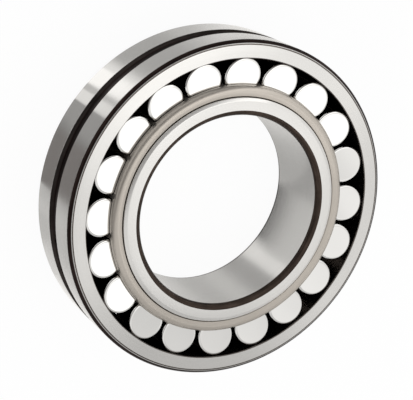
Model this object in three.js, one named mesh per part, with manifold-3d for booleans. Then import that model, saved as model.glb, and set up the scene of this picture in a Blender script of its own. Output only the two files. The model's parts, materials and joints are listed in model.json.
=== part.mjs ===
// A double-row spherical roller bearing, lying flat: its bore axis is +Z, its centre is the origin, and
// the side that faces up is called the front. Lengths are millimetres.

import * as THREE from 'three';
import { mergeVertices } from 'three/addons/utils/BufferGeometryUtils.js';
import Module from 'manifold-3d';

const wasm = await Module();
wasm.setup();

// The section, measured outward from the bore along the line on which a roller bears
const boreDiameter = 85;
const innerRingWall = 9.2;
const rollerDiameter = 17.4;
const outerRingWall = 5.6;
const racewayClearance = 0.15;

// Along the bore axis
const bearingWidth = 36;
const rollerLength = 12.4;
const guideRingWidth = 3.2;
const guideSideClearance = 0.3;

// Corners, groove and holes of the outer ring
const outerCornerRadial = 2.2;
const outerCornerAxial = 2;
const grooveWidth = 7.6;
const grooveFloorWidth = 5.4;
const grooveDepth = 1.5;
const lubricationHoleDiameter = 4.5;
const lubricationHoleCount = 3;
const cutOverrun = 1;

// Corners and shoulders of the inner ring
const boreCornerRadial = 2.4;
const boreCornerAxial = 2.3;
const shoulderWidth = 2.6;
const shoulderDrop = 1.35;

// Rollers
const rollerEndChamfer = 0.5;
const leastRollerGap = 1.1;
const rollerCrownShare = 0.98;

// Cages, pressed from one thickness of sheet
const cageSheet = 1.1;
const cageBendRadius = 1.4;
const cageTaper = 2.1;
const cageWaistHeight = 2.35;
const cageSeparation = 0.5;
const cageLipClearance = 0.5;
const cageLand = 2.1;
const pocketClearance = 0.3;

// Guide ring
const guideRingHeight = 3.35;
const guideBoreClearance = 0.3;
const guideCageClearance = 0.35;

// How finely round shapes are faceted
const facetsPerRoller = 3;
const rollerSides = 16;
const holeSides = 12;
const cornerSteps = 2;
const bendSteps = 3;
const crownSteps = 2;
const outerRacewaySteps = 10;
const innerRacewaySteps = 4;

// Worked out from the sizes above
const halfWidth = bearingWidth / 2;
const boreRadius = boreDiameter / 2;
const rollerRadius = rollerDiameter / 2;
const innerRacewayReach = boreRadius + innerRingWall;
const rollerReach = innerRacewayReach + racewayClearance + rollerRadius;
const outerRacewayRadius = rollerReach + rollerRadius + racewayClearance;
const outsideRadius = outerRacewayRadius + outerRingWall;
const crownRadius = outerRacewayRadius * rollerCrownShare;
const rollerHalfLength = rollerLength / 2;
const rollerEndRadius = rollerBarrelRadius(rollerHalfLength) - rollerEndChamfer;
const contactAngle = rowContactAngle();
const bearingLine = new THREE.Vector2(Math.cos(contactAngle), Math.sin(contactAngle));
const rollerCentre = bearingLine.clone().multiplyScalar(rollerReach);
const rollersPerRow = Math.floor(2 * Math.PI * rollerCentre.x / (rollerDiameter + leastRollerGap));
const rollerPitch = 2 * Math.PI / rollersPerRow;
const ringSegments = rollersPerRow * facetsPerRoller;
const racewayInnerHeight = guideRingWidth / 2 + guideSideClearance;
const racewayOuterHeight = halfWidth - shoulderWidth;
const guideRingBore = innerRacewayRadius(racewayInnerHeight) + guideBoreClearance;
const guideRingOutside = guideRingBore + guideRingHeight;
const cageWaistBore = guideRingOutside + guideCageClearance;

// Distance from a roller's axis to its barrel, at a place along it measured from its middle
function rollerBarrelRadius(along) {
  return rollerRadius - crownRadius + Math.sqrt(crownRadius ** 2 - along ** 2);
}

// The angle that brings the inner end of a roller down to its clearance from the guide ring
function rowContactAngle() {
  const cornerReach = rollerReach - rollerEndRadius;
  const cornerHeight = guideRingWidth / 2 + guideSideClearance;
  const cornerAngle = Math.atan2(rollerHalfLength, cornerReach);
  return cornerAngle + Math.asin(cornerHeight / Math.hypot(cornerReach, rollerHalfLength));
}

// Height of the plane of a roller's outer end, at a distance from the bore axis
function rollerOuterEndHeight(radius) {
  const middle = rollerCentre.y + rollerHalfLength / Math.cos(contactAngle);
  return middle + (radius - rollerCentre.x) * Math.tan(contactAngle);
}

// Radius of the front raceway of the inner ring, at a height above the middle of the bearing
function innerRacewayRadius(height) {
  const centre = bearingLine.clone().multiplyScalar(innerRacewayReach + outerRacewayRadius);
  return centre.x - Math.sqrt(outerRacewayRadius ** 2 - (height - centre.y) ** 2);
}

// Factor that puts the flats of a many-sided hollow where the true circle would be
function hollowShare(sides) {
  return 1 / Math.cos(Math.PI / sides);
}

// Points of an elliptical arc in the section plane, from one angle to another in radians
function arcPoints(centre, radial, axial, from, to, steps) {
  return Array.from({ length: steps + 1 }, (_, step) => {
    const angle = THREE.MathUtils.lerp(from, to, step / steps);
    return new THREE.Vector2(centre.x + radial * Math.cos(angle), centre.y + axial * Math.sin(angle));
  });
}

function point(radius, height) {
  return new THREE.Vector2(radius, height);
}

// The same points at mirrored heights, in the other order
function mirrored(points) {
  return points.map((place) => point(place.x, -place.y)).reverse();
}

// Turns a section, drawn anticlockwise with the radius first and the height second, about the Z axis
function revolve(section, sides) {
  return new THREE.LatheGeometry(section, sides).rotateX(Math.PI / 2);
}

function revolveRing(section) {
  return revolve([...section, section[0].clone()], ringSegments);
}

function solidOf(geometry) {
  const bare = geometry.clone();
  bare.deleteAttribute('normal');
  bare.deleteAttribute('uv');
  const merged = mergeVertices(bare);
  const triangles = [];
  for (let first = 0; first < merged.index.count; first += 3) {
    const corners = [0, 1, 2].map((turn) => merged.index.getX(first + turn));
    if (new Set(corners).size === 3) triangles.push(...corners);
  }
  return new wasm.Manifold(new wasm.Mesh({
    numProp: 3,
    vertProperties: merged.attributes.position.array,
    triVerts: Uint32Array.from(triangles),
  }));
}

function geometryOf(solid) {
  const mesh = solid.getMesh();
  const geometry = new THREE.BufferGeometry();
  geometry.setAttribute('position', new THREE.BufferAttribute(mesh.vertProperties, 3));
  geometry.setIndex(new THREE.BufferAttribute(mesh.triVerts, 1));
  geometry.computeVertexNormals();
  return geometry;
}

function outerRingSection() {
  const cornerCentre = point(outsideRadius - outerCornerRadial, halfWidth - outerCornerAxial);
  const frontCorner = arcPoints(cornerCentre, outerCornerRadial, outerCornerAxial, 0, Math.PI / 2, cornerSteps);
  const frontOutside = [
    point(outsideRadius - grooveDepth, grooveFloorWidth / 2),
    point(outsideRadius, grooveWidth / 2),
    ...frontCorner,
  ];
  const edgeAngle = Math.asin(halfWidth / outerRacewayRadius);
  const racewayRadial = outerRacewayRadius * hollowShare(ringSegments);
  const raceway = arcPoints(point(0, 0), racewayRadial, outerRacewayRadius, edgeAngle, -edgeAngle, outerRacewaySteps);
  return [...mirrored(frontOutside), ...frontOutside, ...raceway];
}

// A round cutter that reaches from inside the raceway to outside the ring
function lubricationHole(turn) {
  const from = outerRacewayRadius - cutOverrun;
  const length = outsideRadius + cutOverrun - from;
  const cutter = new THREE.CylinderGeometry(
    lubricationHoleDiameter / 2, lubricationHoleDiameter / 2, length, holeSides);
  return cutter.rotateZ(Math.PI / 2).translate(from + length / 2, 0, 0).rotateZ(turn);
}

function outerRingGeometry() {
  let ring = solidOf(revolveRing(outerRingSection()));
  for (let hole = 0; hole < lubricationHoleCount; hole += 1) {
    const turn = 2 * Math.PI * hole / lubricationHoleCount;
    ring = ring.subtract(solidOf(lubricationHole(turn)));
  }
  return geometryOf(ring);
}

function innerRingSection() {
  const raceway = Array.from({ length: innerRacewaySteps + 1 }, (_, step) => {
    const height = THREE.MathUtils.lerp(racewayInnerHeight, racewayOuterHeight, step / innerRacewaySteps);
    return point(innerRacewayRadius(height), height);
  });
  const faceEdge = point(innerRacewayRadius(racewayOuterHeight) - shoulderDrop, halfWidth);
  const cornerCentre = point(boreRadius + boreCornerRadial, halfWidth - boreCornerAxial);
  const boreCorner = arcPoints(
    cornerCentre, boreCornerRadial, boreCornerAxial, Math.PI / 2, Math.PI, cornerSteps);
  const frontOutline = [...raceway, faceEdge, ...boreCorner];
  return [...frontOutline, ...mirrored(frontOutline)];
}

function guideRingSection() {
  const flare = guideRingHeight * Math.tan(contactAngle);
  const frontSide = [
    point(guideRingOutside, guideRingWidth / 2 + flare),
    point(guideRingBore, guideRingWidth / 2),
  ];
  return [...frontSide, ...mirrored(frontSide)];
}

function rollerGeometry() {
  const barrelHalf = rollerHalfLength - rollerEndChamfer;
  const barrel = Array.from({ length: crownSteps + 1 }, (_, step) => {
    const along = THREE.MathUtils.lerp(-barrelHalf, barrelHalf, step / crownSteps);
    return point(rollerBarrelRadius(along), along);
  });
  const outline = [
    point(0, -rollerHalfLength),
    point(rollerEndRadius, -rollerHalfLength),
    ...barrel,
    point(rollerEndRadius, rollerHalfLength),
    point(0, rollerHalfLength),
  ];
  return revolve(outline, rollerSides);
}

// The space that a roller needs in its cage, as a barrel with square ends
function pocketCutter() {
  const half = rollerHalfLength + pocketClearance;
  const middle = (rollerRadius + pocketClearance) * hollowShare(rollerSides);
  const end = (rollerBarrelRadius(half) + pocketClearance) * hollowShare(rollerSides);
  const outline = [point(0, -half), point(end, -half), point(middle, 0), point(end, half), point(0, half)];
  return revolve(outline, rollerSides);
}

// Places a roller-shaped geometry on the bearing line of the front row, in the plane of X and Z
function placedInRow(geometry) {
  return geometry.rotateY(-contactAngle).translate(rollerCentre.x, 0, rollerCentre.y);
}

function cageSection() {
  const waist = cageWaistBore + cageSheet;
  const rim = waist - cageTaper;
  const waistBottom = cageSeparation / 2;
  const waistTop = waistBottom + cageWaistHeight;
  const front = rollerOuterEndHeight(rim) + pocketClearance + cageLand;
  const lip = innerRacewayRadius(racewayOuterHeight) + cageLipClearance;
  const bendCentre = point(rim - cageBendRadius, front - cageBendRadius);
  const innerBend = cageBendRadius - cageSheet;
  return [
    point(cageWaistBore, waistBottom),
    point(waist, waistBottom),
    point(waist, waistTop),
    ...arcPoints(bendCentre, cageBendRadius, cageBendRadius, 0, Math.PI / 2, bendSteps),
    point(lip, front),
    point(lip, front - cageSheet),
    ...arcPoints(bendCentre, innerBend, innerBend, Math.PI / 2, 0, bendSteps),
    point(cageWaistBore, waistTop),
  ];
}

function cageGeometry() {
  const blank = solidOf(revolveRing(cageSection()));
  const pockets = Array.from({ length: rollersPerRow }, (_, roller) =>
    solidOf(placedInRow(pocketCutter()).rotateZ(roller * rollerPitch)));
  return geometryOf(pockets.reduce((cage, pocket) => cage.subtract(pocket), blank));
}

const ringSteel = new THREE.MeshStandardMaterial({ color: 0xdcdad5, roughness: 0.35, metalness: 0.9 });
const rollerSteel = new THREE.MeshStandardMaterial({ color: 0xe9e8e4, roughness: 0.2, metalness: 0.95 });
const cageSteel = new THREE.MeshStandardMaterial({ color: 0xb8aea1, roughness: 0.5, metalness: 0.6 });
const guideSteel = new THREE.MeshStandardMaterial({ color: 0x8f8b86, roughness: 0.45, metalness: 0.8 });

function namedMesh(name, geometry, material) {
  const mesh = new THREE.Mesh(geometry, material);
  mesh.name = name;
  return mesh;
}

// One row of rollers in its cage, made as the front row
function rollerRow(side) {
  const row = new THREE.Group();
  row.add(namedMesh(`cage_${side}`, cageGeometry(), cageSteel));
  for (let roller = 0; roller < rollersPerRow; roller += 1) {
    const spoke = new THREE.Group();
    spoke.rotation.z = roller * rollerPitch;
    const number = String(roller + 1).padStart(2, '0');
    const mesh = namedMesh(`roller_${side}_${number}`, rollerGeometry(), rollerSteel);
    mesh.position.set(rollerCentre.x, 0, rollerCentre.y);
    mesh.rotation.y = -contactAngle;
    spoke.add(mesh);
    row.add(spoke);
  }
  return row;
}

const frontRow = rollerRow('front');
const rearRow = rollerRow('rear');
rearRow.rotation.set(Math.PI, 0, rollerPitch / 2);

const bearing = new THREE.Group();
bearing.add(
  namedMesh('outer_ring', outerRingGeometry(), ringSteel),
  namedMesh('inner_ring', revolveRing(innerRingSection()), ringSteel),
  namedMesh('guide_ring', revolveRing(guideRingSection()), guideSteel),
  frontRow,
  rearRow,
);

export default bearing;
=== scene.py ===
import json
import math

import bmesh
import bpy
from mathutils import Matrix, Quaternion, Vector


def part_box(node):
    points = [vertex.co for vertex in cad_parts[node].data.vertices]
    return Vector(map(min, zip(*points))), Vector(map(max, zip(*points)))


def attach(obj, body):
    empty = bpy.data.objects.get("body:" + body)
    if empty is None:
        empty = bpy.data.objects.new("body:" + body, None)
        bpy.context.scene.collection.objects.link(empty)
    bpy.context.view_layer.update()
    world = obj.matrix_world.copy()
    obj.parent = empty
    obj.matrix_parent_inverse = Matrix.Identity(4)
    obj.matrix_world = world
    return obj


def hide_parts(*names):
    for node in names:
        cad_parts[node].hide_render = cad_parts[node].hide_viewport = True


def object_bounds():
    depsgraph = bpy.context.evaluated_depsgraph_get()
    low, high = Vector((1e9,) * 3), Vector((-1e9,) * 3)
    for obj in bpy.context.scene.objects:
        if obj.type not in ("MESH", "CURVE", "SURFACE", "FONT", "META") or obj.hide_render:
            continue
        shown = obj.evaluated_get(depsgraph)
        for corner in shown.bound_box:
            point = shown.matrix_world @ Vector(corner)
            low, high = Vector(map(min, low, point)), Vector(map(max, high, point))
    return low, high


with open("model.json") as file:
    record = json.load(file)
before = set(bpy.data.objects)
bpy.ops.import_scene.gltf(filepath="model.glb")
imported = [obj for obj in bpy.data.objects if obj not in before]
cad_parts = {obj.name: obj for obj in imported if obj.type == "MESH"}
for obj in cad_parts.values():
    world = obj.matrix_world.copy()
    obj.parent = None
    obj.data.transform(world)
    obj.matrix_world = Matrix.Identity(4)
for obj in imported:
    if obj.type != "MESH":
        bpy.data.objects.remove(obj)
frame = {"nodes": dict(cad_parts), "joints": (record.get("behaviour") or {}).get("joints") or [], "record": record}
cad_low, cad_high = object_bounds()
MM = 0.001

# How finely the round shapes are turned
RING_STEPS = 256
ROLLER_STEPS = 56
ARC_STEPS = 24
CORNER_STEPS = 6
EDGE_STEPS = 3
SHARP_ANGLE = math.radians(50)
MERGE_DISTANCE = MM / 1000

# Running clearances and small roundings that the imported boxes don't give
RACEWAY_CLEARANCE = 0.15 * MM
POCKET_CLEARANCE = 0.3 * MM
CROWN_SHARE = 0.98
EDGE_ROUNDING = 0.25 * MM
ROLLER_CORNER = 1.0 * MM
ROLLER_FLAT_MARGIN = 0.15 * MM

# Outer ring
OUTER_CORNER_RADIAL = 2.2 * MM
OUTER_CORNER_AXIAL = 1.9 * MM
# How far down the outer corner its skin and painted dark reflection reach, and the radii over which they fade in
# from ground steel
SKIN_AND_SHADE_SHARE = 0.8
SKIN_AND_SHADE_FADE = (73.3 * MM, 73.8 * MM)
RACEWAY_EDGE = 0.45 * MM
FACE_MARGIN = MM / 100
GROOVE_HALF_WIDTH = 3.8 * MM
GROOVE_FLOOR_HALF_WIDTH = 2.7 * MM
GROOVE_DEPTH = 1.5 * MM
OIL_HOLE_RADIUS = 2.25 * MM
OIL_HOLE_COUNT = 3
OIL_HOLE_STEPS = 40
CUT_OVERRUN = 1 * MM

# Colours of the finishes, dark and light where there are two, and how rough they are
# Painted shade for the raceways, guide ring and roller barrels inside the bearing, where the gaps between rollers
# lie in shade
PAINTED_SHADE_COLOUR = (0.14, 0.125, 0.115)
# Lighter painted shade for the inner ring's shoulders, beside the cage
SHOULDER_SHADE_COLOUR = (0.52, 0.49, 0.46)
# Heat-treatment skin, dark and light, made darker as painted dark reflection on the corners and painted shade in
# the groove
SKIN_AND_SHADE_COLOURS = ((0.006, 0.004, 0.004), (0.035, 0.022, 0.019))
BORE_SKIN_AND_SHADE_COLOURS = ((0.008, 0.006, 0.005), (0.085, 0.062, 0.05))
GROOVE_SKIN_AND_SHADE_COLOURS = ((0.006, 0.005, 0.005), (0.06, 0.05, 0.046))
SKIN_SPECULAR = 0.25
RING_ROUGHNESS = 0.2
RING_ANISOTROPY = 0.93
ROLLER_END_ROUGHNESS = 0.06
ROLLER_BARREL_ROUGHNESS = 0.11

# How far apart the lines in the finishes are, and how deep
GRINDING_LINE = 0.16 * MM
GRINDING_BAND = 1.1 * MM
GRINDING_DEPTH = 0.004 * MM
HONING_LINE = 0.3 * MM
HONING_DEPTH = 0.003 * MM
SKIN_LINE = 0.22 * MM
SKIN_BAND = 1.5 * MM
SKIN_DEPTH = 0.01 * MM
PRESSING_STREAK = 0.7 * MM
PRESSING_DEPTH = 0.008 * MM
POLISHING_LINE = 0.12 * MM
POLISHING_DEPTH = 0.001 * MM
SECTION_SLANT = 0.83

# Inner ring
BORE_CORNER_RADIAL = 2.4 * MM
BORE_CORNER_AXIAL = 2.3 * MM
SHOULDER_WIDTH = 2.6 * MM
SHOULDER_BEVEL_RADIAL = 1.4 * MM
SHOULDER_BEVEL_AXIAL = 0.65 * MM

# Cages
CAGE_SHEET = 1.1 * MM
CAGE_BEND = 2.5 * MM
CAGE_CROWN = math.radians(20)
CAGE_RISE = 0.5 * MM
CAGE_LIP_REACH = 0.2 * MM
CAGE_TAPER = 1.9 * MM
CAGE_WAIST_HEIGHT = 2.35 * MM
CAGE_EDGE = 0.2 * MM
CAGE_LIP_EDGE = 0.35 * MM


def joint_place(name):
    """Where a joint is, and the way its axis points, at rest."""
    joint = next(each for each in frame["joints"] if each["name"] == name)
    return Vector(joint["pos_m"]), Vector(joint["axis"]).normalized()


def radii(node):
    """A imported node's least and greatest distance from the bore axis."""
    distances = [vertex.co.xy.length for vertex in frame["nodes"][node].data.vertices]
    return min(distances), max(distances)


def half_length_along(node, centre, axis):
    return max((vertex.co - centre).dot(axis) for vertex in frame["nodes"][node].data.vertices)


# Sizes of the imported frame
roller_centre, roller_axis = joint_place("roller_front_01_roll")
roller_half_length = half_length_along("roller_front_01", roller_centre, roller_axis)
roller_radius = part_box("roller_front_01")[1].y
rollers_per_row = sum(name.startswith("roller_front") for name in frame["nodes"])
half_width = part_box("outer_ring")[1].z
outside_radius = radii("outer_ring")[1]
bore_radius = radii("inner_ring")[0]
raceway_radius = roller_centre.length + roller_radius + RACEWAY_CLEARANCE
crown_radius = raceway_radius * CROWN_SHARE
guide_bore, guide_outside = radii("guide_ring")
guide_half_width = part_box("guide_ring")[1].z
guide_bore_half_width = guide_half_width - (guide_outside - guide_bore) * -roller_axis.x / roller_axis.z
cage_lip, cage_waist = radii("cage_front")
cage_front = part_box("cage_front")[1].z
cage_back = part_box("cage_front")[0].z
inner_centre_reach = roller_centre.length + raceway_radius - roller_radius - RACEWAY_CLEARANCE
inner_raceway_centre = roller_centre.normalized() * inner_centre_reach


# Drawing and turning outlines

def pen(shape, radius, height):
    """Puts the pen down in the plane of X and Z."""
    return shape.verts.new((radius, 0, height))


def line(shape, start, radius, height):
    """Draws a straight line on, and gives its end."""
    end = bmesh.ops.extrude_vert_indiv(shape, verts=[start])["verts"][0]
    end.co = (radius, 0, height)
    return end


def arc(shape, start, centre, angle, steps=ARC_STEPS):
    """Draws an arc on about a centre, anticlockwise where the angle is positive, and gives its end."""
    drawn = bmesh.ops.spin(shape, geom=[start], cent=(centre.x, 0, centre.z), axis=(0, -1, 0),
                           dvec=(0, 0, 0), angle=angle, steps=steps, use_merge=False, use_duplicate=False)
    return next(part for part in drawn["geom_last"] if isinstance(part, bmesh.types.BMVert))


def soften(shape, corners, radius, steps=EDGE_STEPS):
    """Rounds corners of an outline."""
    return bmesh.ops.bevel(shape, geom=corners, offset=radius, offset_type="OFFSET", segments=steps,
                           profile=0.5, affect="VERTICES", material=-1, clamp_overlap=True)["verts"]


def soften_oval(shape, corner, radial, axial):
    """Rounds the corner of a ring's side face, by more along the bore axis than across it."""
    face = corner.co.z
    rounded = soften(shape, [corner], radial, CORNER_STEPS)
    bmesh.ops.scale(shape, verts=rounded, vec=(1, 1, axial / radial),
                    space=Matrix.Translation((0, 0, -face)))


def turn(shape, steps):
    """Turns an outline about the Z axis into a closed solid, with its faces outward."""
    bmesh.ops.spin(shape, geom=shape.verts[:] + shape.edges[:], cent=(0, 0, 0), axis=(0, 0, 1),
                   dvec=(0, 0, 0), angle=2 * math.pi, steps=steps, use_merge=True, use_duplicate=False)
    bmesh.ops.remove_doubles(shape, verts=shape.verts, dist=MERGE_DISTANCE)
    bmesh.ops.recalc_face_normals(shape, faces=shape.faces)


def paint(shape, finish, inside):
    """Gives a finish to the faces whose middle, as radius and height, lies inside a region."""
    for face in shape.faces:
        middle = face.calc_center_median()
        if inside(middle.xy.length, abs(middle.z)):
            face.material_index = finish


def finished_piece(name, shape, materials, body):
    """Makes a shape a piece of the bearing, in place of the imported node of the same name."""
    mesh = bpy.data.meshes.new(name)
    shape.to_mesh(mesh)
    shape.free()
    for material in materials:
        mesh.materials.append(material)
    mesh.shade_smooth()
    mesh.set_sharp_from_angle(angle=SHARP_ANGLE)
    piece = bpy.data.objects.new(name + "_piece", mesh)
    bpy.context.scene.collection.objects.link(piece)
    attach(piece, body)
    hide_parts(name)
    return piece


def apply_modifiers(piece):
    graph = bpy.context.evaluated_depsgraph_get()
    made = bpy.data.meshes.new_from_object(piece.evaluated_get(graph), depsgraph=graph)
    piece.modifiers.clear()
    piece.data = made


def even_out_shading(piece):
    """Keeps flat and round faces true beside their narrow roundings."""
    weighted = piece.modifiers.new("true_faces", "WEIGHTED_NORMAL")
    weighted.weight = 50
    weighted.keep_sharp = True
    apply_modifiers(piece)


def cut(shape, cutter):
    """Cuts one closed shape out of another."""
    bodies = []
    for part in (shape, cutter):
        mesh = bpy.data.meshes.new("cut")
        part.to_mesh(mesh)
        part.free()
        bodies.append(bpy.data.objects.new("cut", mesh))
        bpy.context.scene.collection.objects.link(bodies[-1])
    boolean = bodies[0].modifiers.new("cut", "BOOLEAN")
    boolean.operation = "DIFFERENCE"
    boolean.solver = "EXACT"
    boolean.object = bodies[1]
    apply_modifiers(bodies[0])
    left = bmesh.new()
    left.from_mesh(bodies[0].data)
    for body in bodies:
        bpy.data.objects.remove(body)
    return left


# Finishes

def node(tree, kind, settings=None, **inputs):
    """Adds a node. An input that is another node's output is linked, and any other is set."""
    made = tree.nodes.new(kind)
    for name, value in (settings or {}).items():
        setattr(made, name, value)
    for name, value in inputs.items():
        socket = made.inputs[int(name[1:])] if name[0] == "_" else made.inputs[name.replace("_", " ")]
        if isinstance(value, bpy.types.NodeSocket):
            tree.links.new(value, socket)
        else:
            socket.default_value = value
    return made


def maths(tree, operation, *values):
    inputs = {f"_{place}": value for place, value in enumerate(values)}
    return node(tree, "ShaderNodeMath", {"operation": operation}, **inputs).outputs[0]


def spread(tree, value, low, high):
    """Brings a value from 0..1 to low..high."""
    return node(tree, "ShaderNodeMapRange", Value=value, To_Min=low, To_Max=high).outputs[0]


def noise(tree, place, scale, detail=2.0, roughness=0.5):
    made = node(tree, "ShaderNodeTexNoise", Vector=place, Scale=scale, Detail=detail, Roughness=roughness)
    return made.outputs["Fac"]


def weigh(tree, first, share, second):
    """Two values weighed against each other, the first with its share and the second with the rest."""
    rest = maths(tree, "MULTIPLY", second, 1 - share)
    return maths(tree, "MULTIPLY_ADD", first, share, rest)


def blend_colours(tree, share, first, second):
    made = node(tree, "ShaderNodeMix", {"data_type": "RGBA"}, _0=share, _6=first, _7=second)
    return made.outputs[2]


def rgb(colour, light=1.0):
    return tuple(channel * light for channel in colour) + (1.0,)


def new_finish(name):
    """An empty material with its shader, ready for its own nodes."""
    material = bpy.data.materials.new(name)
    material.use_nodes = True
    return material, material.node_tree, material.node_tree.nodes["Principled BSDF"]


def wire(tree, shader, **inputs):
    for name, value in inputs.items():
        tree.links.new(value, shader.inputs[name.replace("_", " ")])


def slot_colour(slot):
    return next(each for each in frame["record"]["materials"] if each["slot"] == slot)["base_color"]


def turned_place(tree, place):
    """How a point lies round the Z axis of its place: its direction out, and how far along the section."""
    flat = node(tree, "ShaderNodeVectorMath", {"operation": "MULTIPLY"}, _0=place, _1=(1, 1, 0))
    out = node(tree, "ShaderNodeVectorMath", {"operation": "NORMALIZE"}, _0=flat.outputs[0]).outputs[0]
    radius = node(tree, "ShaderNodeVectorMath", {"operation": "LENGTH"}, _0=flat.outputs[0]).outputs["Value"]
    height = node(tree, "ShaderNodeSeparateXYZ", Vector=place).outputs["Z"]
    along = maths(tree, "MULTIPLY_ADD", height, SECTION_SLANT, radius)
    return out, along


def object_place(tree):
    return node(tree, "ShaderNodeTexCoord").outputs["Object"]


def along_lines(tree, out):
    """The direction of the lines that turning and grinding leave, round the bore axis."""
    around = node(tree, "ShaderNodeVectorMath", {"operation": "CROSS_PRODUCT"}, _0=(0, 0, 1), _1=out)
    world = node(tree, "ShaderNodeVectorTransform",
                 {"vector_type": "VECTOR", "convert_from": "OBJECT", "convert_to": "WORLD"},
                 Vector=around.outputs[0])
    return world.outputs[0]


def ring_lines(tree, out, along, width, length=2.0, detail=3.0):
    """Fine lines that run round the bore axis, a width apart, and fade in and out along their length."""
    made = node(tree, "ShaderNodeTexNoise", {"noise_dimensions": "4D"}, Vector=out, Scale=length,
                W=maths(tree, "MULTIPLY", along, 1 / (width * length)), Detail=detail, Roughness=0.6)
    return made.outputs["Fac"]


def bump(tree, height, strength, distance):
    return node(tree, "ShaderNodeBump", Strength=strength, Distance=distance, Height=height).outputs[0]


def set_metal(shader, metallic, anisotropy):
    """Sets how metallic a finish is, and spreads its highlights across the lines that run round it."""
    shader.inputs["Metallic"].default_value = metallic
    shader.inputs["Anisotropic"].default_value = anisotropy
    shader.inputs["Anisotropic Rotation"].default_value = 0.25


def ground_steel(name, colour, roughness, anisotropy):
    """Bearing steel as the grinding wheel leaves it, with fine circular lines and a faintly uneven tone."""
    material, tree, shader = new_finish(name)
    place = object_place(tree)
    out, along = turned_place(tree, place)
    fine = ring_lines(tree, out, along, width=GRINDING_LINE, length=3.0)
    broad = ring_lines(tree, out, along, width=GRINDING_BAND, length=1.2)
    cloud = noise(tree, place, scale=45.0, detail=3.0)
    tone = weigh(tree, broad, 0.5, cloud)
    shade = blend_colours(tree, tone, rgb(colour, light=0.93), rgb(colour, light=1.06))
    patches = spread(tree, tone, low=roughness - 0.08, high=roughness + 0.02)
    dull = maths(tree, "MULTIPLY_ADD", fine, 0.1, patches)
    wire(tree, shader, Base_Color=shade, Roughness=dull, Tangent=along_lines(tree, out),
         Normal=bump(tree, fine, strength=0.25, distance=GRINDING_DEPTH))
    set_metal(shader, metallic=1.0, anisotropy=anisotropy)
    return material


def shaded_raceway(name, colour):
    """Honed raceways, darkened brown as painted shade for the shaded inside of the bearing."""
    material, tree, shader = new_finish(name)
    place = object_place(tree)
    out, along = turned_place(tree, place)
    lines = ring_lines(tree, out, along, width=HONING_LINE, length=2.0)
    film = noise(tree, place, scale=70.0, detail=4.0, roughness=0.55)
    shade = blend_colours(tree, film, rgb(colour, light=0.7), rgb(colour, light=1.25))
    wire(tree, shader, Base_Color=shade, Roughness=spread(tree, lines, low=0.16, high=0.26),
         Tangent=along_lines(tree, out), Normal=bump(tree, lines, strength=0.2, distance=HONING_DEPTH))
    set_metal(shader, metallic=1.0, anisotropy=0.5)
    return material


def skin_and_painted_shade(name, dark, light, ground=None):
    """Dark brown like the skin that heat treatment leaves where a ring isn't ground, and darker still as painted
    shade and painted dark reflection.

    Where a ground colour and two radii are given, the dark fades in between them from the ground colour, which
    softens the edge of the painted dark reflection.
    """
    material, tree, shader = new_finish(name)
    place = object_place(tree)
    out, along = turned_place(tree, place)
    lines = ring_lines(tree, out, along, width=SKIN_LINE, length=2.0)
    broad = ring_lines(tree, out, along, width=SKIN_BAND, length=2.5, detail=4.0)
    spots = noise(tree, place, scale=160.0, detail=4.0, roughness=0.6)
    cloud = weigh(tree, broad, 0.6, spots)
    tone = spread(tree, cloud, low=-0.6, high=1.6)
    shade = blend_colours(tree, tone, rgb(dark), rgb(light))
    if ground:
        colour, start, end = ground
        _, radius = level_place(tree, place)
        shade = blend_colours(tree, fade(tree, radius, start, end, 0.0, 1.0), rgb(colour), shade)
    wire(tree, shader, Base_Color=shade, Roughness=spread(tree, lines, low=0.26, high=0.42),
         Tangent=along_lines(tree, out), Normal=bump(tree, lines, strength=0.4, distance=SKIN_DEPTH))
    set_metal(shader, metallic=0.85, anisotropy=0.3)
    shader.inputs["Specular IOR Level"].default_value = SKIN_SPECULAR
    return material


def pressed_sheet(name, colour):
    """Phosphated cage sheet: warm grey and satin, with the faint streaks of pressing and a fine grain."""
    material, tree, shader = new_finish(name)
    place = object_place(tree)
    out, along = turned_place(tree, place)
    streaks = ring_lines(tree, out, along, width=PRESSING_STREAK, length=2.5)
    grain = noise(tree, place, scale=5200.0, detail=2.0)
    cloud = noise(tree, place, scale=60.0, detail=4.0, roughness=0.6)
    tone = weigh(tree, streaks, 0.45, cloud)
    shade = blend_colours(tree, tone, rgb(colour, light=0.82), rgb(colour, light=1.12))
    height = maths(tree, "MULTIPLY_ADD", grain, 0.35, streaks)
    wire(tree, shader, Base_Color=shade, Roughness=spread(tree, tone, low=0.3, high=0.42),
         Tangent=along_lines(tree, out), Normal=bump(tree, height, strength=0.35, distance=PRESSING_DEPTH))
    set_metal(shader, metallic=0.95, anisotropy=0.3)
    return material


def polished_roller(name, colour, shaded, dull):
    """Superfinished roller steel, with nearly unseen lines round the roller's own axis. Where shaded, it carries
    painted shade, with a wider random tone that reaches darker.
    """
    material, tree, shader = new_finish(name)
    local = node(tree, "ShaderNodeAttribute", {"attribute_name": "roller_place"}).outputs["Vector"]
    out, along = turned_place(tree, local)
    lines = ring_lines(tree, out, along, width=POLISHING_LINE, length=2.0)
    cloud = noise(tree, object_place(tree), scale=90.0, detail=3.0)
    darkest = 0.97 - 0.27 * shaded
    lightest = 1.03 + 0.2 * shaded
    shade = blend_colours(tree, cloud, rgb(colour, light=darkest), rgb(colour, light=lightest))
    wire(tree, shader, Base_Color=shade, Roughness=spread(tree, lines, low=0.4 * dull, high=dull),
         Normal=bump(tree, lines, strength=0.2, distance=POLISHING_DEPTH))
    set_metal(shader, metallic=1.0, anisotropy=0.0)
    return material


# The pieces

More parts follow.
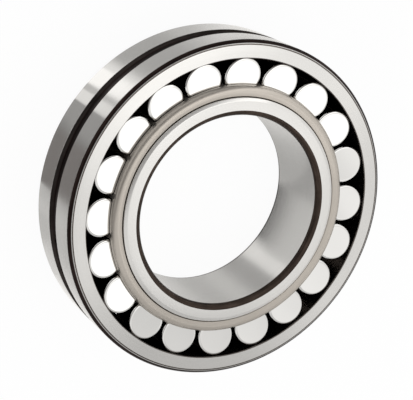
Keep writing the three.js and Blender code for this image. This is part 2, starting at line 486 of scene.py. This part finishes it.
def outer_ring_shape():
    """The ring with its spherical raceway, its oval corners and its lubrication groove."""
    shape = bmesh.new()
    edge_angle = math.asin(half_width / raceway_radius)
    start = pen(shape, raceway_radius, 0)
    raceway_edge = arc(shape, start, Vector((0, 0, 0)), edge_angle)
    corner = line(shape, raceway_edge, outside_radius, half_width)
    groove_edge = line(shape, corner, outside_radius, GROOVE_HALF_WIDTH)
    groove_foot = line(shape, groove_edge, outside_radius - GROOVE_DEPTH, GROOVE_FLOOR_HALF_WIDTH)
    line(shape, groove_foot, outside_radius - GROOVE_DEPTH, 0)
    soften_oval(shape, corner, OUTER_CORNER_RADIAL, OUTER_CORNER_AXIAL)
    soften(shape, [groove_edge, groove_foot], EDGE_ROUNDING)
    soften(shape, [raceway_edge], RACEWAY_EDGE)
    bmesh.ops.mirror(shape, geom=shape.verts[:] + shape.edges[:], axis="Z", merge_dist=MERGE_DISTANCE)
    turn(shape, RING_STEPS)
    return shape


def oil_hole_cutter():
    """The lubrication holes, drilled from the groove into the raceway."""
    cutter = bmesh.new()
    depth = outside_radius - raceway_radius + 2 * CUT_OVERRUN
    reach = raceway_radius - CUT_OVERRUN + depth / 2
    for hole in range(OIL_HOLE_COUNT):
        place = (Matrix.Rotation(2 * math.pi * hole / OIL_HOLE_COUNT, 4, "Z")
                 @ Matrix.Translation((reach, 0, 0)) @ Matrix.Rotation(math.pi / 2, 4, "Y"))
        bmesh.ops.create_cone(cutter, cap_ends=True, segments=OIL_HOLE_STEPS, radius1=OIL_HOLE_RADIUS,
                              radius2=OIL_HOLE_RADIUS, depth=depth, matrix=place)
    return cutter


def make_outer_ring(steel, skin_and_shade, shaded_steel, wall, corner):
    shape = cut(outer_ring_shape(), oil_hole_cutter())
    groove_bottom = outside_radius - GROOVE_DEPTH - EDGE_ROUNDING
    skin_and_shade_foot = half_width - OUTER_CORNER_AXIAL * SKIN_AND_SHADE_SHARE
    skin_and_shade_edge = outside_radius - OUTER_CORNER_RADIAL
    # The groove's floor and roundings get the skin with painted shade
    paint(shape, 1, lambda radius, height: radius > groove_bottom and height < GROOVE_HALF_WIDTH)
    # The outer corner gets the skin with a painted dark reflection
    paint(shape, 4, lambda radius, height: radius > skin_and_shade_edge and height > skin_and_shade_foot)
    wall_foot, wall_head = groove_bottom + 2 * EDGE_ROUNDING, outside_radius - EDGE_ROUNDING
    # The groove's walls get a lighter skin with painted shade
    paint(shape, 3, lambda radius, height: wall_foot < radius < wall_head and height < GROOVE_HALF_WIDTH)
    # The raceway gets painted shade, for the shade inside the bearing
    paint(shape, 2, lambda radius, height: radius < groove_bottom and height < half_width - FACE_MARGIN)
    steels = [steel, skin_and_shade, shaded_steel, wall, corner]
    even_out_shading(finished_piece("outer_ring", shape, steels, "outer_ring"))


def make_inner_ring(steel, skin_and_shade, shaded_steel, shoulder):
    """The ring with two hollow raceways, its middle land and its rounded bore corners."""
    shape = bmesh.new()
    height = half_width - SHOULDER_WIDTH
    centre = inner_raceway_centre
    land_height = guide_bore_half_width + 2 * RACEWAY_CLEARANCE
    from_angle = math.atan2(land_height - centre.z, -centre_reach(land_height))
    to_angle = math.atan2(height - centre.z, -centre_reach(height))
    start = pen(shape, centre.x - centre_reach(land_height), land_height)
    raceway_end = arc(shape, start, centre, turn_back(to_angle - from_angle))
    bevel_start = line(shape, raceway_end, raceway_end.co.x, half_width - SHOULDER_BEVEL_AXIAL)
    face_radius = raceway_end.co.x - SHOULDER_BEVEL_RADIAL
    face_edge = line(shape, bevel_start, face_radius, half_width)
    corner = line(shape, face_edge, bore_radius, half_width)
    line(shape, corner, bore_radius, 0)
    soften_oval(shape, corner, BORE_CORNER_RADIAL, BORE_CORNER_AXIAL)
    soften(shape, [raceway_end, bevel_start, face_edge], EDGE_ROUNDING)
    bmesh.ops.mirror(shape, geom=shape.verts[:] + shape.edges[:], axis="Z", merge_dist=MERGE_DISTANCE)
    ends = [vertex for vertex in shape.verts if len(vertex.link_edges) == 1]
    shape.edges.new(ends)
    soften(shape, ends, EDGE_ROUNDING)
    turn(shape, RING_STEPS)
    skin_and_shade_edge = bore_radius + BORE_CORNER_RADIAL
    skin_and_shade_foot = half_width - BORE_CORNER_AXIAL
    # The bore corners get the skin with a painted dark reflection
    paint(shape, 1, lambda radius, height: radius < skin_and_shade_edge and height > skin_and_shade_foot)
    # The shoulders get a lighter painted shade, for the shade between the cage and the inner face
    bevel_foot = half_width - SHOULDER_BEVEL_AXIAL - EDGE_ROUNDING / 2
    paint(shape, 3, lambda radius, height: radius > face_radius and height < bevel_foot)
    # The raceways get painted shade, for the shade inside the bearing
    paint(shape, 2, lambda radius, height: radius > face_radius and height < half_width - SHOULDER_WIDTH)
    steels = [steel, skin_and_shade, shaded_steel, shoulder]
    even_out_shading(finished_piece("inner_ring", shape, steels, "inner_ring"))


def centre_reach(height):
    """How far an inner raceway lies from its arc's centre, along the radius, at a height."""
    return math.sqrt(raceway_radius ** 2 - (height - inner_raceway_centre.z) ** 2)


def turn_back(angle):
    """The same turn, the short way round."""
    return (angle + math.pi) % (2 * math.pi) - math.pi


def make_guide_ring(steel):
    shape = bmesh.new()
    bore_top = pen(shape, guide_bore, guide_bore_half_width)
    outside_top = line(shape, bore_top, guide_outside, guide_half_width)
    outside_foot = line(shape, outside_top, guide_outside, -guide_half_width)
    bore_foot = line(shape, outside_foot, guide_bore, -guide_bore_half_width)
    shape.edges.new((bore_foot, bore_top))
    soften(shape, shape.verts[:], EDGE_ROUNDING)
    turn(shape, RING_STEPS)
    even_out_shading(finished_piece("guide_ring", shape, [steel], "guide_ring"))


def barrel_radius(along):
    """A roller's radius at a distance along it from its middle."""
    return roller_radius - crown_radius + math.sqrt(crown_radius ** 2 - along ** 2)


def barrel_shape(growth, corner, steps):
    """A barrel round the Z axis with rounded ends, grown from the roller by a clearance."""
    shape = bmesh.new()
    half = roller_half_length + growth
    crown = crown_radius + growth
    end_radius = barrel_radius(half) + growth
    centre = Vector((roller_radius + growth - crown, 0, 0))
    slope = math.asin(half / crown)
    foot = pen(shape, end_radius, -half)
    head = arc(shape, foot, centre, 2 * slope, ARC_STEPS // 2)
    flat_radius = end_radius - corner - ROLLER_FLAT_MARGIN
    line(shape, line(shape, head, flat_radius, half), 0, half)
    line(shape, line(shape, foot, flat_radius, -half), 0, -half)
    if corner:
        soften(shape, [foot, head], corner, EDGE_STEPS + 1)
    turn(shape, steps)
    return shape


def roller_place(name):
    """The matrix that takes a shape from round the Z axis to a roller's place."""
    centre, axis = joint_place(name + "_roll")
    return Matrix.Translation(centre) @ Vector((0, 0, 1)).rotation_difference(axis).to_matrix().to_4x4()


def make_roller(name, end, barrel):
    """A roller whose barrel and inward end are painted dark as the shade between the rows, while its outward end
    stays plain polished steel.
    """
    shape = barrel_shape(0, ROLLER_CORNER, ROLLER_STEPS)
    outward = 1 if name.startswith("roller_front") else -1
    barrel_half = roller_half_length - ROLLER_CORNER
    # The barrel and inward end get the painted shade finish
    for face in shape.faces:
        face.material_index = int(face.calc_center_median().z * outward < barrel_half)
    local = shape.verts.layers.float_vector.new("roller_place")
    for vertex in shape.verts:
        vertex[local] = vertex.co
    bmesh.ops.transform(shape, matrix=roller_place(name), verts=shape.verts)
    even_out_shading(finished_piece(name, shape, [end, barrel], name))


def cage_blank():
    """The front cage before its windows are cut: a waist, a sloping wall and a crowned flange."""
    shape = bmesh.new()
    waist_bore = cage_waist - CAGE_SHEET
    rim = cage_waist - CAGE_TAPER
    lip = cage_lip - CAGE_LIP_REACH
    bend_centre = Vector((rim - CAGE_BEND, 0, cage_front + CAGE_RISE - CAGE_BEND))
    waist_top = cage_back + CAGE_WAIST_HEIGHT
    inside_foot = pen(shape, waist_bore, cage_back)
    outside_foot = line(shape, inside_foot, cage_waist, cage_back)
    outside_waist = line(shape, outside_foot, cage_waist, waist_top)
    rim_foot = line(shape, outside_waist, rim, bend_centre.z)
    rim_top = arc(shape, rim_foot, bend_centre, math.pi / 2 + CAGE_CROWN, 2 * CORNER_STEPS)
    lip_height = rim_top.co.z - (rim_top.co.x - lip) * math.tan(CAGE_CROWN)
    lip_top = line(shape, rim_top, lip, lip_height)
    lip_foot = line(shape, lip_top, lip, lip_height - CAGE_SHEET / math.cos(CAGE_CROWN))
    inner_bend = CAGE_BEND - CAGE_SHEET
    inner_top = line(shape, lip_foot, bend_centre.x - inner_bend * math.sin(CAGE_CROWN),
                     bend_centre.z + inner_bend * math.cos(CAGE_CROWN))
    inner_foot = arc(shape, inner_top, bend_centre, -math.pi / 2 - CAGE_CROWN, CORNER_STEPS)
    inside_waist = line(shape, inner_foot, waist_bore, waist_top)
    shape.edges.new((inside_waist, inside_foot))
    soften(shape, [inside_foot, outside_foot, lip_foot], CAGE_EDGE)
    soften(shape, [lip_top], CAGE_LIP_EDGE)
    turn(shape, RING_STEPS)
    return shape


def window_cutter():
    """The room that each roller of the front row needs in its cage."""
    cutter = bmesh.new()
    for number in range(rollers_per_row):
        pocket = barrel_shape(POCKET_CLEARANCE, 0, ROLLER_STEPS)
        place = roller_place(f"roller_front_{number + 1:02d}")
        bmesh.ops.transform(pocket, matrix=place, verts=pocket.verts)
        mesh = bpy.data.meshes.new("pocket")
        pocket.to_mesh(mesh)
        pocket.free()
        cutter.from_mesh(mesh)
        bpy.data.meshes.remove(mesh)
    return cutter


def make_cages(sheet):
    """Both cages: the rear one is the front one turned over and half a pitch round."""
    shape = cut(cage_blank(), window_cutter())
    bmesh.ops.remove_doubles(shape, verts=shape.verts, dist=MERGE_DISTANCE)
    rear = shape.copy()
    bmesh.ops.rotate(rear, cent=(0, 0, 0), matrix=Matrix.Rotation(math.pi / rollers_per_row, 3, "Z"),
                     verts=rear.verts)
    bmesh.ops.rotate(rear, cent=(0, 0, 0), matrix=Matrix.Rotation(math.pi, 3, "X"), verts=rear.verts)
    even_out_shading(finished_piece("cage_front", shape, [sheet], "cage_front"))
    even_out_shading(finished_piece("cage_rear", rear, [sheet], "cage_rear"))


# The photograph's viewing angle, found by fitting circles of the two rings to its edges
CAMERA_AZIMUTH = 75.6
CAMERA_ELEVATION = 57.094
CAMERA_ROLL = 123.845
CAMERA_DISTANCE = 595.906 * MM
CAMERA_AIM = Vector((-1.18, 2.30, -1.25)) * MM
CAMERA_LENS = 118.284
CAMERA_SENSOR = 36.0
CAMERA_CLIP = (0.02, 20.0)

# Soft lamps, as azimuth and elevation in degrees, distance, size and power
OVERHEAD_LAMP = (255.6, 62, 1.3, 1.3, 9)
SIDE_LAMP = (150, 35, 1.4, 0.8, 4)

# How bright the world is to surfaces. The camera and mirrored rays see it as plain white.
WORLD_FILL = 0.6

# Floor and studio cards. Four numbers for a fade are its start and end, and the tone at each.
FLOOR_RADIUS = 4.0
FLOOR_SIDES = 128
FLOOR_TONE = 0.82
FLOOR_ROUGHNESS = 0.9
FLOOR_WHITE_SHARE = 0.95
FLOOR_MIRRORED_SHARE = 0.3
CARD_SIDES = 96
CARD_GAP = 0.05 * MM
CARD_WHITE = (1.0, 0.985, 0.965)
CARD_SHADE = (1.0, 0.72, 0.64)
CARD_SHADE_END = 0.3
TABLE_CARD_RADIUS = 0.3
STRIPS_REACH = 110 * MM
STRIPS_FADE = 30 * MM
STRIPS_BEYOND = 0.3
BORE_CARD_RADIUS = 3.0
BORE_CARD_DROP = 1.0
PATCH_ENDS = (255, 285)
PATCH_SOFTNESS = 5 * MM
PATCH_REACH = 19 * MM
PATCH_SHARE = 0.65
OVERHEAD_CARD_RADIUS = 0.7
OVERHEAD_CARD_RISE = 0.1
PANEL_LIGHT = 1.0
PANEL_BACK_LIGHT = (-20 * MM, 15 * MM, 1.13, 1.42)
PANEL_MIDDLE = 2 * MM
PANEL_MIDDLE_FADE = 15 * MM
PANEL_EDGE = 70.3 * MM
PANEL_SOFTNESS = 1.5 * MM
PANEL_SIDE = 32 * MM
PANEL_SIDE_SOFTNESS = 12 * MM
PANEL_TURN = -13.7
PANEL_BACK = 50 * MM
PANEL_BACK_FADE = 25 * MM
FAR_BEHIND = (-260 * MM, -160 * MM, 0.8, 0.25)
MIDDLE_SHADE = (1.87, 2.8, 0.91, 1.0)
WINDOW_MIDDLE = (70.5 * MM, 17 * MM)
WINDOW_REACH = (40.6 * MM, 53.1 * MM)
WINDOW_EDGE = (1.0, 1.1, 1.0, 0.0)
FAR_CARD_RADIUS = 3.0
FAR_CARD_RISE = 1.0
FAR_WHITE = 1.3
FAR_EDGE_AZIMUTH = 217
FAR_EDGE = 0.497
FAR_EDGE_SOFTNESS = 0.006
FAR_GREY = (0.33, 0.07, 0.69, 0.96)
FAR_GREY_END = (0.06, 0.015, 1.0, 0.85)
SURROUND_BLEND = (-42 * MM, 30 * MM)
SURROUND_DARK = (15 * MM, 95 * MM, 0.82, 0.58)
SURROUND_LIGHT = (70 * MM, 118 * MM, 0.97, 0.83)

# Strips that show in the steel, as azimuths of start and end and softness in degrees, and tone
OUTSIDE_PLAIN = 0.6
OUTSIDE_STRIPS = [(-30, 8, 22, 0.95), (42, 52, 9, 0.47), (59, 72, 5, 0.92), (60.5, 66, 1.2, 1.25),
                  (67.5, 68.8, 1, 0.6), (73.8, 103, 0.9, 0.36), (86, 102.5, 8, 0.215), (103.2, 110, 1, 0.6),
                  (108.5, 111, 1.5, 0.66), (130, 137, 9, 0.82), (140, 152, 3, 1.08),
                  (195, 210, 8, 0.9), (225, 245, 3, 0.4), (250, 262, 3, 1.05), (290, 310, 10, 0.85)]
BORE_PLAIN = 0.52
BORE_STRIPS = [(170, 182, 12, 0.77), (210, 218, 4, 0.64), (224, 234, 3.5, 0.4), (250, 285, 5, 0.65),
               (239.5, 246, 4.5, 0.88), (292, 308, 4, 0.475), (331, 342, 12, 0.8)]


def stage_piece(name, shape, material):
    mesh = bpy.data.meshes.new(name)
    shape.to_mesh(mesh)
    shape.free()
    mesh.materials.append(material)
    piece = bpy.data.objects.new(name, mesh)
    bpy.context.scene.collection.objects.link(piece)
    return piece


def make_floor():
    """A pale floor that shows as white and keeps the soft shadow. The bore mirrors what is below it."""
    shape = bmesh.new()
    bmesh.ops.create_circle(shape, cap_ends=True, segments=FLOOR_SIDES, radius=FLOOR_RADIUS,
                            matrix=Matrix.Translation((0, 0, cad_low.z - CARD_GAP)))
    material, tree, shader = new_finish("studio_floor")
    shader.inputs["Roughness"].default_value = FLOOR_ROUGHNESS
    shader.inputs["Specular IOR Level"].default_value = 0.0
    shader.inputs["Base Color"].default_value = rgb((1, 1, 1), light=FLOOR_TONE)
    rays = node(tree, "ShaderNodeLightPath")
    seen = maths(tree, "MULTIPLY", rays.outputs["Is Camera Ray"], FLOOR_WHITE_SHARE)
    mirrored = maths(tree, "MULTIPLY_ADD", rays.outputs["Is Glossy Ray"], FLOOR_MIRRORED_SHARE, seen)
    share = maths(tree, "MULTIPLY_ADD", rays.outputs["Is Transmission Ray"], FLOOR_MIRRORED_SHARE, mirrored)
    white = node(tree, "ShaderNodeEmission", Color=rgb((1, 1, 1)), Strength=1.0).outputs[0]
    mixed = node(tree, "ShaderNodeMixShader", _0=share, _1=shader.outputs[0], _2=white).outputs[0]
    _, radius = level_place(tree, object_place(tree))
    in_bore = maths(tree, "LESS_THAN", radius, bore_radius + BORE_CORNER_RADIAL)
    see_past = maths(tree, "MULTIPLY", in_bore, rays.outputs["Is Glossy Ray"])
    clear = node(tree, "ShaderNodeBsdfTransparent").outputs[0]
    mixed = node(tree, "ShaderNodeMixShader", _0=see_past, _1=mixed, _2=clear).outputs[0]
    tree.links.new(mixed, tree.nodes["Material Output"].inputs["Surface"])
    stage_piece("studio_floor", shape, material)


def make_card(name, radius, height, light, holes=None):
    """A round studio card that only mirrored rays see. Functions that add nodes give its tone and holes."""
    shape = bmesh.new()
    bmesh.ops.create_circle(shape, cap_ends=True, segments=CARD_SIDES, radius=radius,
                            matrix=Matrix.Translation((0, 0, height)))
    material = bpy.data.materials.new(name)
    material.use_nodes = True
    tree = material.node_tree
    place = object_place(tree)
    tone = light(tree, place)
    paleness = fade(tree, tone, 0.0, CARD_SHADE_END, 0.0, 1.0)
    colour = blend_colours(tree, paleness, rgb(CARD_SHADE), rgb(CARD_WHITE))
    surface = node(tree, "ShaderNodeEmission", Color=colour, Strength=tone)
    if holes:
        clear = node(tree, "ShaderNodeBsdfTransparent")
        surface = node(tree, "ShaderNodeMixShader", _0=holes(tree, place), _1=surface.outputs[0],
                       _2=clear.outputs[0])
    tree.links.new(surface.outputs[0], tree.nodes["Material Output"].inputs["Surface"])
    card = stage_piece(name, shape, material)
    card.visible_camera = False
    card.visible_diffuse = False
    card.visible_transmission = False
    card.visible_shadow = False


def fade(tree, value, start, end, low, high):
    """Goes smoothly from one tone at start to another at end."""
    return node(tree, "ShaderNodeMapRange", {"interpolation_type": "SMOOTHSTEP"}, Value=value,
                From_Min=start, From_Max=end, To_Min=low, To_Max=high).outputs[0]


def dot(tree, place, way):
    made = node(tree, "ShaderNodeVectorMath", {"operation": "DOT_PRODUCT"}, _0=place, _1=way)
    return made.outputs["Value"]


def left_of(way):
    return Vector((-way.y, way.x, 0))


def mirrored_way(foot, facing):
    """The level way that a sight line from the camera goes on, once an upright wall has mirrored it."""
    to_camera = camera_place() - foot
    to_camera.z = 0
    return (2 * to_camera.dot(facing) * facing - to_camera).normalized()


def past_line(tree, place, foot, way):
    """How far a place is to the left of a line."""
    left = left_of(way)
    return maths(tree, "SUBTRACT", dot(tree, place, left), foot.dot(left))


def past_outside(tree, place, azimuth):
    """How far a place on the table is, anticlockwise, past what the outside mirrors at an azimuth."""
    out = direction(azimuth, 0)
    foot = out * outside_radius
    level = past_line(tree, place, foot, out)
    if (camera_place() - foot).dot(out) < 0:
        return level
    way = mirrored_way(foot, out)
    further = "MAXIMUM" if way.dot(left_of(out)) < 0 else "MINIMUM"
    return maths(tree, further, level, past_line(tree, place, foot, way))


def past_bore(tree, place, azimuth):
    """How far a place far below is, anticlockwise, past what the bore mirrors at an azimuth."""
    out = direction(azimuth, 0)
    foot = out * bore_radius
    return past_line(tree, place, foot, mirrored_way(foot, -out))


def strips(tree, place, plain, bands, past, towards, degree):
    """A plain tone with strips of others, each between the places that the steel mirrors at two azimuths."""
    tone = plain
    for start, end, softness, light in bands:
        reach = softness * degree
        near = maths(tree, "GREATER_THAN", dot(tree, place, towards((start + end) / 2)), 0.0)
        after = fade(tree, past(tree, place, start), -reach, 0.0, 0.0, 1.0)
        before = fade(tree, past(tree, place, end), 0.0, reach, 1.0, 0.0)
        share = maths(tree, "MULTIPLY", maths(tree, "MULTIPLY", after, before), near)
        tone = mix(tree, share, tone, light)
    return tone


def level_place(tree, place):
    """A place without its height, and how far it is from the bore axis."""
    flat = node(tree, "ShaderNodeVectorMath", {"operation": "MULTIPLY"}, _0=place, _1=(1, 1, 0)).outputs[0]
    return flat, node(tree, "ShaderNodeVectorMath", {"operation": "LENGTH"}, _0=flat).outputs["Value"]


def table_light(tree, place):
    """The card under the bearing: strips that reflect in the outside, and black under the rings."""
    flat, radius = level_place(tree, place)
    degree = outside_radius * math.radians(1)
    outside = strips(tree, flat, OUTSIDE_PLAIN, OUTSIDE_STRIPS, past_outside, level_direction, degree)
    beyond = maths(tree, "GREATER_THAN", radius, outside_radius - OUTER_CORNER_RADIAL)
    near = fade(tree, radius, STRIPS_REACH, STRIPS_REACH + STRIPS_FADE, 1.0, STRIPS_BEYOND)
    return maths(tree, "MULTIPLY", outside, maths(tree, "MULTIPLY", beyond, near))


def table_holes(tree, place):
    """The table card lets the bore see past it, but for a dark patch at the foot of the bore."""
    flat, radius = level_place(tree, place)
    in_bore = maths(tree, "LESS_THAN", radius, bore_radius + BORE_CORNER_RADIAL)
    inward = fade(tree, radius, bore_radius - PATCH_REACH, bore_radius, 0.0, PATCH_SHARE)
    start, end = PATCH_ENDS
    after = fade(tree, past_bore(tree, flat, start), 0.0, PATCH_SOFTNESS, 1.0, 0.0)
    before = fade(tree, past_bore(tree, flat, end), -PATCH_SOFTNESS, 0.0, 0.0, 1.0)
    there = maths(tree, "GREATER_THAN", dot(tree, flat, direction((start + end) / 2, 0)), 0.0)
    wide = maths(tree, "MULTIPLY", maths(tree, "MULTIPLY", after, before), there)
    patch = maths(tree, "MULTIPLY", inward, wide)
    return maths(tree, "MULTIPLY", in_bore, maths(tree, "SUBTRACT", 1.0, patch))


def level_direction(azimuth):
    return direction(azimuth, 0)


def mirrored_by_bore(azimuth):
    """The level way that a sight line goes on from the bore at an azimuth."""
    out = level_direction(azimuth)
    return mirrored_way(out * bore_radius, -out)


def bore_light(tree, place):
    """The card far below, whose strips reflect along the whole length of the bore."""
    flat, _ = level_place(tree, place)
    degree = 2 * BORE_CARD_DROP / math.tan(math.radians(CAMERA_ELEVATION)) * math.radians(1)
    return strips(tree, flat, BORE_PLAIN, BORE_STRIPS, past_bore, mirrored_by_bore, degree)


def mix(tree, share, first, second):
    """A tone between two, as a share of the second."""
    return node(tree, "ShaderNodeMix", {"data_type": "FLOAT"}, _0=share, _2=first, _3=second).outputs[0]


def panel_place(tree, place):
    """How far a place is ahead and aside, as the overhead cards are laid out."""
    ahead = direction(CAMERA_AZIMUTH + 180 + PANEL_TURN, 0)
    return dot(tree, place, ahead), dot(tree, place, left_of(ahead))


def overhead_light(tree, place):
    """The near card overhead, which reflects in the side faces: a white panel in a grey surround."""
    ahead, aside = panel_place(tree, place)
    back = fade(tree, aside, *PANEL_BACK_LIGHT)
    middle = fade(tree, ahead, PANEL_MIDDLE - PANEL_MIDDLE_FADE, PANEL_MIDDLE, 0.0, 1.0)
    panel = mix(tree, middle, back, PANEL_LIGHT)
    beyond = fade(tree, ahead, PANEL_EDGE - PANEL_SOFTNESS, PANEL_EDGE + PANEL_SOFTNESS, 1.0, 0.0)
    side_start = -PANEL_SIDE - PANEL_SIDE_SOFTNESS
    side_end = -PANEL_SIDE + PANEL_SIDE_SOFTNESS
    beside = fade(tree, aside, side_start, side_end, 0.0, 1.0)
    dark = fade(tree, ahead, *SURROUND_DARK)
    light = fade(tree, ahead, *SURROUND_LIGHT)
    surround = mix(tree, fade(tree, aside, *SURROUND_BLEND, 0.0, 1.0), dark, light)
    lit = mix(tree, maths(tree, "MULTIPLY", beyond, beside), surround, panel)
    lit = maths(tree, "MULTIPLY", lit, fade(tree, window_share(tree, place), *MIDDLE_SHADE))
    behind = fade(tree, ahead, -PANEL_BACK - PANEL_BACK_FADE, -PANEL_BACK, 0.0, 1.0)
    return mix(tree, behind, fade(tree, ahead, *FAR_BEHIND), lit)


def window_share(tree, place):
    """How far out a place is from the middle of the near card's window: 1 on the window's edge."""
    share = 0.0
    for distance, middle, reach in zip(panel_place(tree, place), WINDOW_MIDDLE, WINDOW_REACH):
        part = maths(tree, "DIVIDE", maths(tree, "SUBTRACT", distance, middle), reach)
        share = maths(tree, "MULTIPLY_ADD", part, part, share)
    return share


def overhead_holes(tree, place):
    """The oval window in the near card, through which the roller ends see the far one."""
    return fade(tree, window_share(tree, place), *WINDOW_EDGE)


def far_light(tree, place):
    """The far card overhead: white on one side of a straight edge, and grey on the other."""
    past = dot(tree, place, direction(FAR_EDGE_AZIMUTH, 0))
    white = fade(tree, past, FAR_EDGE - FAR_EDGE_SOFTNESS, FAR_EDGE + FAR_EDGE_SOFTNESS, 0.0, 1.0)
    _, aside = panel_place(tree, place)
    grey = maths(tree, "MULTIPLY", fade(tree, aside, *FAR_GREY), fade(tree, aside, *FAR_GREY_END))
    return mix(tree, white, grey, FAR_WHITE)


def make_world():
    """White all round where the camera or the steel looks, and a softer fill on everything else."""
    world = bpy.data.worlds.new("studio")
    world.use_nodes = True
    tree = world.node_tree
    rays = node(tree, "ShaderNodeLightPath")
    seen = maths(tree, "MAXIMUM", rays.outputs["Is Camera Ray"], rays.outputs["Is Glossy Ray"])
    seen = maths(tree, "MAXIMUM", seen, rays.outputs["Is Transmission Ray"])
    background = tree.nodes["Background"]
    tree.links.new(spread(tree, seen, WORLD_FILL, 1.0), background.inputs["Strength"])
    background.inputs["Color"].default_value = rgb((1, 1, 1))
    bpy.context.scene.world = world


def softbox(name, azimuth, elevation, distance, size, power):
    """A square soft light that faces the bearing."""
    light = bpy.data.lights.new(name, "AREA")
    light.shape = "SQUARE"
    light.size = size
    light.energy = power
    lamp = bpy.data.objects.new(name, light)
    bpy.context.scene.collection.objects.link(lamp)
    way = direction(azimuth, elevation)
    lamp.location = way * distance
    lamp.rotation_euler = (-way).to_track_quat("-Z", "Y").to_euler()
    lamp.visible_glossy = False


def direction(azimuth, elevation):
    """The unit vector towards a place round the bearing, from angles in degrees: azimuth from +X to +Y."""
    turned, raised = math.radians(azimuth), math.radians(elevation)
    level = math.cos(raised)
    return Vector((math.cos(turned) * level, math.sin(turned) * level, math.sin(raised)))


def camera_place():
    return CAMERA_AIM + direction(CAMERA_AZIMUTH, CAMERA_ELEVATION) * CAMERA_DISTANCE


def make_camera():
    data = bpy.data.cameras.new("camera")
    data.sensor_width = CAMERA_SENSOR
    data.lens = CAMERA_LENS
    data.clip_start, data.clip_end = CAMERA_CLIP
    camera = bpy.data.objects.new("camera", data)
    bpy.context.scene.collection.objects.link(camera)
    camera.location = camera_place()
    level = (-direction(CAMERA_AZIMUTH, CAMERA_ELEVATION)).to_track_quat("-Z", "Y")
    camera.rotation_mode = "QUATERNION"
    camera.rotation_quaternion = level @ Quaternion((0, 0, 1), math.radians(CAMERA_ROLL))
    bpy.context.scene.camera = camera


ring_colour = slot_colour("ring_steel")
ring_steel = ground_steel("ring_steel", ring_colour, RING_ROUGHNESS, RING_ANISOTROPY)
# The guide ring between the rows is painted dark as shade
guide_steel = shaded_raceway("guide_steel", PAINTED_SHADE_COLOUR)
# Skins darkened further with painted shade and painted dark reflection
skin_and_shade = skin_and_painted_shade("skin_and_painted_shade", *SKIN_AND_SHADE_COLOURS)
bore_skin_and_shade = skin_and_painted_shade("bore_skin_and_painted_shade", *BORE_SKIN_AND_SHADE_COLOURS)
groove_skin_and_shade = skin_and_painted_shade("groove_skin_and_painted_shade", *GROOVE_SKIN_AND_SHADE_COLOURS)
# The outer corner's skin and painted dark reflection fade in from the ring's steel colour
corner_skin_and_shade = skin_and_painted_shade("corner_skin_and_painted_shade", *SKIN_AND_SHADE_COLOURS, (ring_colour, *SKIN_AND_SHADE_FADE))
# Raceways painted dark as the shade inside the bearing
shaded_steel = shaded_raceway("shaded_raceway", PAINTED_SHADE_COLOUR)
make_outer_ring(ring_steel, skin_and_shade, shaded_steel, groove_skin_and_shade, corner_skin_and_shade)
# The inner ring's shoulders take a lighter painted shade
make_inner_ring(ring_steel, bore_skin_and_shade, shaded_steel, shaded_raceway("shaded_shoulder", SHOULDER_SHADE_COLOUR))
make_guide_ring(guide_steel)
make_cages(pressed_sheet("cage_steel", slot_colour("cage_steel")))
roller_end = polished_roller("roller_end_steel", slot_colour("roller_steel"), 0.0, ROLLER_END_ROUGHNESS)
# Roller barrels and inward ends are painted dark as the shade between the rows
roller_barrel = polished_roller("roller_barrel_steel", PAINTED_SHADE_COLOUR, 1.0, ROLLER_BARREL_ROUGHNESS)
for name in sorted(frame["nodes"]):
    if name.startswith("roller_"):
        make_roller(name, roller_end, roller_barrel)

make_floor()
make_world()
make_card("table_card", TABLE_CARD_RADIUS, cad_low.z - CARD_GAP / 2, table_light, table_holes)
make_card("bore_card", BORE_CARD_RADIUS, cad_low.z - BORE_CARD_DROP, bore_light)
make_card("overhead_card", OVERHEAD_CARD_RADIUS, cad_high.z + OVERHEAD_CARD_RISE,
          overhead_light, overhead_holes)
make_card("far_card", FAR_CARD_RADIUS, cad_high.z + FAR_CARD_RISE, far_light)
softbox("overhead", *OVERHEAD_LAMP)
softbox("side", *SIDE_LAMP)
make_camera()
bpy.context.scene.view_settings.view_transform = "Standard"
